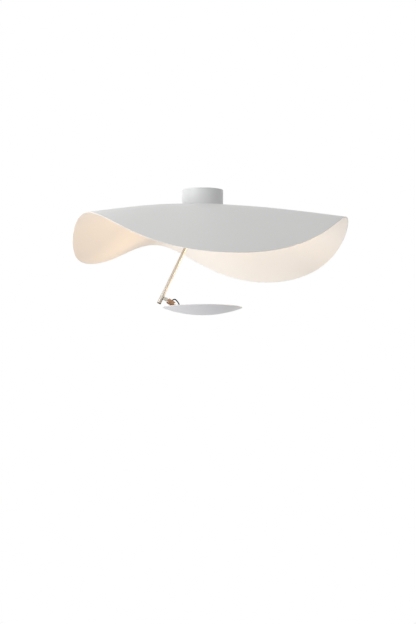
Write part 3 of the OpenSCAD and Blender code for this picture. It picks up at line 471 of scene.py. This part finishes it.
# Canopy screws: two small socket screws, flush with the side of the canopy.
# Nickel plated steel.
nickel_values = {
    "Metal": (0.63, 0.6, 0.54, 1), "Stain": (0.55, 0.52, 0.47, 1),
    "Marks": 90, "Clouds": 240, "Base Roughness": 0.3,
}
nickel = finish_from(worked_metal, "satin_nickel", nickel_values, bump=0.00001, Metallic=1.0)
stand_for(eased("canopy_screws", "canopy_socket_screws", width=0.0002), "canopy_screws", nickel)


# Shade: one flat round blank of sheet steel, pressed into three low and three raised lobes.
# White satin lacquer above, and below a brighter, warmer white that paints in the glow of the LED. It is held
# at its middle between the canopy and a washer.
sheet_edge = 0.0004
shade_sheet = open_piece("shade_sheet", frame["nodes"]["shade"].data.copy())
bpy.ops.mesh.customdata_custom_splitnormals_clear()
bpy.ops.mesh.remove_doubles(threshold=merge_gap)
bpy.ops.mesh.tris_convert_to_quads(face_threshold=math.radians(50), shape_threshold=math.radians(60))
bpy.ops.object.mode_set(mode="OBJECT")
rim_bevel = shade_sheet.modifiers.new("rim", "BEVEL")
rim_bevel.width = sheet_edge
rim_bevel.segments = 2
rim_bevel.limit_method = "ANGLE"
rim_bevel.angle_limit = math.radians(50)
bpy.ops.object.modifier_apply(modifier=rim_bevel.name)
finer = shade_sheet.modifiers.new("smooth sheet", "SUBSURF")
finer.levels = finer.render_levels = 1
bpy.ops.object.modifier_apply(modifier=finer.name)
bpy.ops.object.shade_smooth_by_angle(angle=math.radians(60))
shade_outside = finish_from(
    lacquer_coat, "shade_lacquer_white",
    {"Lacquer": (0.8, 0.8, 0.785, 1), "Tone": (0.775, 0.775, 0.765, 1), "Peel": 600, "Base Roughness": 0.45},
    bump=0.00003,
)
# The underside's brighter, warmer white is painted light: the warm glow of the LED on the same white lacquer.
shade_underside_painted_glow = finish_from(
    lacquer_coat, "shade_lacquer_painted_glow",
    {"Lacquer": (0.9, 0.87, 0.83, 1), "Tone": (0.88, 0.845, 0.8, 1), "Peel": 600, "Base Roughness": 0.5},
    bump=0.00003,
)
stand_for(shade_sheet, "shade", shade_outside)
shade_sheet.data.materials.append(shade_underside_painted_glow)
# Faces that look down get the colour with the painted LED glow.
underside = -0.2
for face in shade_sheet.data.polygons:
    face.material_index = 1 if face.normal.z < underside else 0


# Washer and nut under the shade, and the spring washer that gives the swivel its drag.
# The washer is lacquered like the shade's underside, with its painted LED glow, and the nut and the spring
# washer are plated steel.
stand_for(eased("seat_washer", "shade_washer", width=0.0003), "seat_washer", shade_underside_painted_glow)
stand_for(eased("clamp_nut", "shade_nut", width=0.0004), "clamp_nut", nickel)
stand_for(eased("spring_washer", "wave_washer", width=0.00005), "spring_washer", zinc_plate)


# Upper swivel: a plate with two cheeks that turns on the threaded tube, and the stem's knuckle between the
# cheeks. Nickel plated brass. Two screws with sunk heads are the knuckle's pivots.
stand_for(eased("swivel_fork", "swivel_cheeks", width=0.0003), "swivel_fork", nickel)
joint_at = {joint["name"]: joint for joint in frame["joints"]}
lean = math.atan2(joint_at["dish_swing"]["axis"][0], joint_at["dish_swing"]["axis"][2])
nickel_on_stem = finish_from(
    worked_metal, "satin_nickel_stem", nickel_values, bump=0.00001, turn=(0, -lean, 0), Metallic=1.0
)
stand_for(eased("stem_knuckle", "knuckle", width=0.0003), "stem_knuckle", nickel_on_stem)
stand_for(eased("pivot_screws", "knuckle_pivots", width=0.00012), "pivot_screws", nickel)


# Stem: a thin drawn tube from the knuckle to the end cap, with the lead inside it.
# Nickel plated steel, with fine drawing marks along it.
drawn_values = {
    **nickel_values, "Stain": (0.6, 0.57, 0.51, 1), "Marks": 4, "Clouds": 60, "Base Roughness": 0.42,
}
drawn_nickel = finish_from(
    worked_metal, "drawn_nickel", drawn_values, bump=0.00001, turn=(0, -lean, 0), Metallic=1.0
)
stand_for(eased("stem_rod", "stem_tube", width=0.0001), "stem_rod", drawn_nickel)
stand_for(eased("stem_lead", "stem_inner_lead", width=0.00001), "stem_lead", black_sleeve)
stand_for(eased("stop_ring", "sleeve_stop", width=0.0001), "stop_ring", nickel_on_stem)


# End cap: a turned plug pressed into the foot of the stem, which keeps the sleeve on.
# Brass, coloured dark.
aged_brass = finish_from(
    worked_metal, "aged_brass",
    {
        "Metal": (0.24, 0.18, 0.1, 1), "Stain": (0.09, 0.065, 0.04, 1),
        "Marks": 90, "Clouds": 300, "Base Roughness": 0.34,
    },
    bump=0.00001, turn=(0, -lean, 0), Metallic=1.0,
)
stand_for(eased("end_cap", "stem_plug", width=0.0004), "end_cap", aged_brass)


# Sleeve with its fork: it turns round the stem and carries the dish pivot between two round ears.
# Satin nickel. The pivot screw has a hexagon socket, and its nut is at the back.
stand_for(eased("swivel_sleeve", "sleeve_and_fork", width=0.00025), "swivel_sleeve", nickel_on_stem)
stand_for(eased("tilt_screw", "dish_pivot_screw", width=0.00015), "tilt_screw", nickel)
stand_for(eased("tilt_nut", "dish_pivot_nut", width=0.00015), "tilt_nut", nickel)
stand_for(eased("barrel_tongue", "barrel_neck", width=0.0002), "barrel_tongue", nickel)


# Barrel: a turned bar with rounded ends that joins the tongue to the arm, drilled for the lead.
# Polished red gold plate over brass. It slopes down to the dish, 8 degrees steeper than square to the stem.
arm_slope = math.radians(33.5)
red_gold = finish_from(
    worked_metal, "polished_red_gold",
    {
        "Metal": (0.5, 0.34, 0.24, 1), "Stain": (0.34, 0.22, 0.15, 1),
        "Marks": 80, "Clouds": 180, "Base Roughness": 0.14,
    },
    bump=0.000004, turn=(0, -arm_slope - math.pi / 2, 0), Metallic=1.0,
)
stand_for(eased("barrel", "barrel_body", width=0.0002), "barrel", red_gold)
stand_for(eased("reflector_arm", "dish_arm", width=0.0002), "reflector_arm", white_powder)


# Lead at the dish: it leaves the side of the barrel, arches over and runs under the cover of the LED.
# Black rubber sleeve, 2.6 mm. Its first points are in the barrel's frame, and the rest count from the edge
# of the LED board.
loop_lead_d = 0.0026
pivot = Vector(joint_at["dish_tilt"]["pos_m"])
at_barrel = Matrix.Translation(pivot) @ Matrix.Rotation(arm_slope, 4, "Y")
led_board_low, led_board_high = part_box("led_board")
lead_gap = 0.0001
lead_lift = loop_lead_d / 2 + lead_gap
lead_y = 0.0075
loop_points = [
    at_barrel @ Vector(point)
    for point in (
        (0.0102, 0, 0), (0.0111, 0.0018, 0.0029), (0.012, 0.0036, 0.0058), (0.01254, 0.00468, 0.00754),
        (0.0144, 0.0054, 0.0102), (0.0178, 0.0058, 0.0111), (0.022, 0.0063, 0.0099),
    )
] + [
    Vector((led_board_low.x + along, across, led_board_low.z + lead_lift + up))
    for along, across, up in (
        (-0.034, 0.0068, 0.0128), (-0.0318, 0.0071, 0.0086), (-0.0294, 0.0073, 0.0046),
        (-0.026, 0.0074, 0.0014), (-0.0215, lead_y, 0), (-0.013, lead_y, 0), (0, lead_y, 0),
    )
]
dish_lead = sleeved_lead("dish_lead", loop_points, loop_lead_d, black_sleeve)
stand_for(dish_lead, "lead_loop", black_sleeve)


# LED plate: a cast disc with cooling ribs below, and a lug with a slanted boss for the arm. Cast aluminium,
# blasted. The dish hangs on it by three posts, which are welded into the dish and held by nuts on the plate.
cast_aluminium = finish_from(
    moulded, "blasted_aluminium",
    {"Plastic": (0.66, 0.67, 0.68, 1), "Shade": (0.56, 0.57, 0.58, 1), "Grain": 1500, "Base Roughness": 0.48},
    bump=0.00004, Metallic=1.0,
)
stand_for(eased("led_plate", "cooling_plate", width=0.0003), "led_plate", cast_aluminium)
stand_for(eased("dish_posts", "welded_posts", width=0.00012), "dish_posts", cast_aluminium)
stand_for(eased("post_nuts", "plate_nuts", width=0.00015), "post_nuts", zinc_plate)


# LED board and emitter: a round metal-backed board with the light source in the middle, under a frosted
# cover. White solder mask, and a yellow phosphor layer in clear silicone. The holder presses the board to
# the plate.
far_above = 1
white_board = circuit_board_finish(
    "led_board_mask", mask=(0.78, 0.78, 0.74, 1), copper=(0.6, 0.6, 0.56, 1), tall=(0.78, 0.78, 0.74, 1),
    top=led_board_high.z + far_above,
)
stand_for(eased("led_board", "led_carrier", width=0.0001), "led_board", white_board)


def lit(material, colour, strength):
    """The material also gives light."""
    shader = material.node_tree.nodes["Principled BSDF"]
    shader.inputs["Emission Color"].default_value = colour
    shader.inputs["Emission Strength"].default_value = strength
    return material


led_light = (1.0, 0.69, 0.39, 1)
phosphor = lit(
    finish_from(
        moulded, "phosphor_silicone",
        {
            "Plastic": (0.85, 0.62, 0.18, 1), "Shade": (0.8, 0.55, 0.12, 1),
            "Grain": 2500, "Base Roughness": 0.3,
        },
        bump=0.00003,
    ),
    led_light, strength=3.0,
)
opal = lit(
    finish_from(
        moulded, "frosted_opal",
        {
            "Plastic": (0.9, 0.86, 0.78, 1), "Shade": (0.88, 0.83, 0.74, 1),
            "Grain": 2200, "Base Roughness": 0.55,
        },
        bump=0.00002,
    ),
    led_light, strength=0.9,
)
stand_for(eased("led_emitter", "emitter_pad", width=0.0002), "led_emitter", phosphor)
stand_for(eased("led_holder", "board_holder", width=0.0003), "led_holder", white_plastic)
stand_for(eased("holder_screws", "board_holder_screws", width=0.00012), "holder_screws", zinc_plate)
stand_for(eased("light_cover", "frosted_cover", width=0.0008), "light_cover", opal)


# Dish: a shallow spun bowl that throws the light up at the shade, with a softly rounded rim.
# White satin lacquer over 1.2 mm sheet.
dish_low, dish_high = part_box("dish")
dish_r = (dish_high.x - dish_low.x) / 2
dish_depth = dish_high.z - dish_low.z
dish_wall = 0.0012
ball_r = (dish_r ** 2 + dish_depth ** 2) / (2 * dish_depth)
rim_steps = 8
bowl_steps = 40
rim_turn = math.asin(dish_r / ball_r)


def bowl_point(radius, share):
    """A point of a spherical bowl of that radius, from its middle at 0 to its rim at 1."""
    turn = rim_turn * share
    return (radius * math.sin(turn), dish_low.z + ball_r - radius * math.cos(turn))


rim_share = 1 - dish_wall / 2 / (ball_r * rim_turn)
outer = [bowl_point(ball_r, rim_share * k / bowl_steps) for k in range(bowl_steps + 1)]
inner = [bowl_point(ball_r - dish_wall, rim_share * k / bowl_steps) for k in range(bowl_steps, -1, -1)]
rim_middle = bowl_point(ball_r - dish_wall / 2, rim_share)
rim_angle = math.degrees(rim_turn) - 90
rim_round = arc(rim_middle, dish_wall / 2, rim_angle, rim_angle + 180, rim_steps)[1:-1]
dish_place = Matrix.Translation(((dish_low.x + dish_high.x) / 2, 0, 0))
dish_bowl = turned("dish_bowl", outer + rim_round + inner, dish_place, steps=160)
bpy.ops.object.shade_smooth_by_angle(angle=math.radians(50))
dish_white = finish_from(
    lacquer_coat, "dish_lacquer_white",
    {"Lacquer": (0.76, 0.76, 0.78, 1), "Tone": (0.735, 0.735, 0.76, 1), "Peel": 700, "Base Roughness": 0.4},
    bump=0.00003,
)
stand_for(dish_bowl, "dish", dish_white)


# Floor of the room, 2.4 m under the ceiling, and a white surround. Neither is part of the light.
# The camera and the metal see both as white, but the surround lights the lamp with less than half of that.
room_h = 2.4
floor_half = 11.0
bpy.ops.mesh.primitive_plane_add(size=2 * floor_half, location=(0, 0, -room_h))
room_floor = bpy.context.object
room_floor.name = "room_floor"
floor_paint = bpy.data.materials.new("pale_floor")
floor_paint.use_nodes = True
tree = floor_paint.node_tree
tree.nodes.remove(tree.nodes["Principled BSDF"])


def seen_directly(tree):
    """1 for what the camera, a mirror or a clear body sees, and 0 for what only gives light."""
    path = put(tree, "ShaderNodeLightPath").outputs
    both = reckon(tree, "MAXIMUM", path["Is Camera Ray"], path["Is Glossy Ray"])
    return reckon(tree, "MAXIMUM", both, path["Is Transmission Ray"])


diffuse = put(tree, "ShaderNodeBsdfDiffuse", {"Color": (0.8, 0.8, 0.8, 1)})
glow = put(tree, "ShaderNodeEmission", {"Color": (1, 1, 1, 1), "Strength": 1.0})
where = put(tree, "ShaderNodeTexCoord").outputs["Object"]
away = put(tree, "ShaderNodeVectorMath", {0: where}, operation="LENGTH").outputs["Value"]
fading = put(
    tree, "ShaderNodeMapRange",
    {"Value": away, "From Min": 1.0, "From Max": 0.8 * floor_half, "To Min": 0.85, "To Max": 1.0},
).outputs[0]
share = reckon(tree, "MULTIPLY", seen_directly(tree), fading)
paint = put(tree, "ShaderNodeMixShader", {0: share, 1: diffuse.outputs[0], 2: glow.outputs[0]}).outputs[0]
from_below = put(tree, "ShaderNodeNewGeometry").outputs["Backfacing"]
nothing = put(tree, "ShaderNodeBsdfTransparent").outputs[0]
floor_mix = put(tree, "ShaderNodeMixShader", {0: from_below, 1: paint, 2: nothing}).outputs[0]
tree.links.new(floor_mix, tree.nodes["Material Output"].inputs["Surface"])
room_floor.data.materials.append(floor_paint)

surround = bpy.data.worlds.new("white_surround")
bpy.context.scene.world = surround
surround.use_nodes = True
tree = surround.node_tree
background = tree.nodes["Background"]
ambient = (0.452, 0.452, 0.457, 1)
tree.links.new(blended(tree, seen_directly(tree), ambient, (1, 1, 1, 1)), background.inputs["Color"])


# Studio light: a soft white lamp from above on the front left, two from lower down on the left, and the warm
# glow of the LED. Two small warm lamps under the shade add what the dish throws into the low left lobe and
# on its back edge.
def soft_lamp(name, place, target, size, power, colour):
    """A round soft lamp, aimed at the target and unseen by the camera. Returns its light data."""
    lamp = bpy.data.lights.new(name, "AREA")
    lamp.shape = "DISK"
    lamp.size = size
    lamp.energy = power
    lamp.color = colour
    holder = bpy.data.objects.new(name, lamp)
    bpy.context.scene.collection.objects.link(holder)
    holder.location = place
    holder.rotation_euler = (Vector(target) - Vector(place)).to_track_quat("-Z", "Y").to_euler()
    holder.visible_camera = False
    return lamp


lamp_middle = (0, 0, -0.12)
left_lobe = (-0.22, -0.05, -0.1)
left_lobe_back = (-0.165, 0.18, -0.1)
white = (1, 1, 1)
warm = led_light[:3]
soft_lamp("key_light", (-0.85, -0.75, 0.65), lamp_middle, size=0.8, power=6.8, colour=white)
soft_lamp("low_light", (-2.0, -2.0, -1.3), lamp_middle, size=2.2, power=27, colour=white)
soft_lamp("side_light", (-2.2, -0.65, -0.82), lamp_middle, size=0.8, power=22, colour=white)
lobe_lamp = soft_lamp("lobe_light", (0.38, -0.03, -0.19), left_lobe, size=0.4, power=0.25, colour=warm)
lobe_lamp.shape = "ELLIPSE"
lobe_lamp.size_y = 0.08
lobe_lamp.spread = math.radians(60)
back_lamp = soft_lamp(
    "back_edge_light", (-0.17, -0.02, -0.5), left_lobe_back, size=0.1, power=0.02, colour=warm
)
back_lamp.spread = math.radians(32)

led = bpy.data.lights.new("led_glow", "POINT")
led.energy = 8
led.color = warm
led.shadow_soft_size = 0.03
led.use_nodes = True
falloff = put(led.node_tree, "ShaderNodeLightFalloff", {"Strength": 1.0})
led.node_tree.links.new(falloff.outputs["Constant"], led.node_tree.nodes["Emission"].inputs["Strength"])
led_holder = bpy.data.objects.new("led_glow", led)
bpy.context.scene.collection.objects.link(led_holder)
cover_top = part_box("light_cover")[1].z
glow_lift = 0.012
led_holder.location = (0, 0, cover_top + glow_lift)
led_holder.parent = frame["bodies"]["reflector"]


# Dark card low behind the camera, which only the polished metal shows.
# Black felt. No camera sees it, it takes no light from the lamp and it throws no shadow.
card_size = 3.0
card_place = (0, -4.8, -2.3)
bpy.ops.mesh.primitive_plane_add(size=card_size, location=card_place, rotation=(math.pi / 2, 0, 0))
dark_card = bpy.context.object
dark_card.name = "dark_card"
card_felt = bpy.data.materials.new("black_felt")
card_felt.use_nodes = True
card_felt.node_tree.nodes["Principled BSDF"].inputs["Base Color"].default_value = (0.02, 0.02, 0.02, 1)
dark_card.data.materials.append(card_felt)
dark_card.visible_camera = dark_card.visible_diffuse = dark_card.visible_shadow = False


# Camera: 4 m in front of the lamp, 0.57 m under the ceiling, pitched up a little.
# Its place and its angles were fitted to the outlines of the canopy and the dish in the photo.
photo_h = 624
focal_px = 1873.0
camera_place = (0.00025, -3.98907, -0.57456)
pitch_up = 4.4788
turn_right = 0.1625
camera_data = bpy.data.cameras.new("photo_camera")
camera_data.lens = camera_data.sensor_width * focal_px / photo_h
camera = bpy.data.objects.new("photo_camera", camera_data)
bpy.context.scene.collection.objects.link(camera)
camera.location = camera_place
camera.rotation_euler = (math.radians(90 + pitch_up), 0, math.radians(-turn_right))
bpy.context.scene.camera = camera
bpy.context.scene.view_settings.view_transform = "Standard"
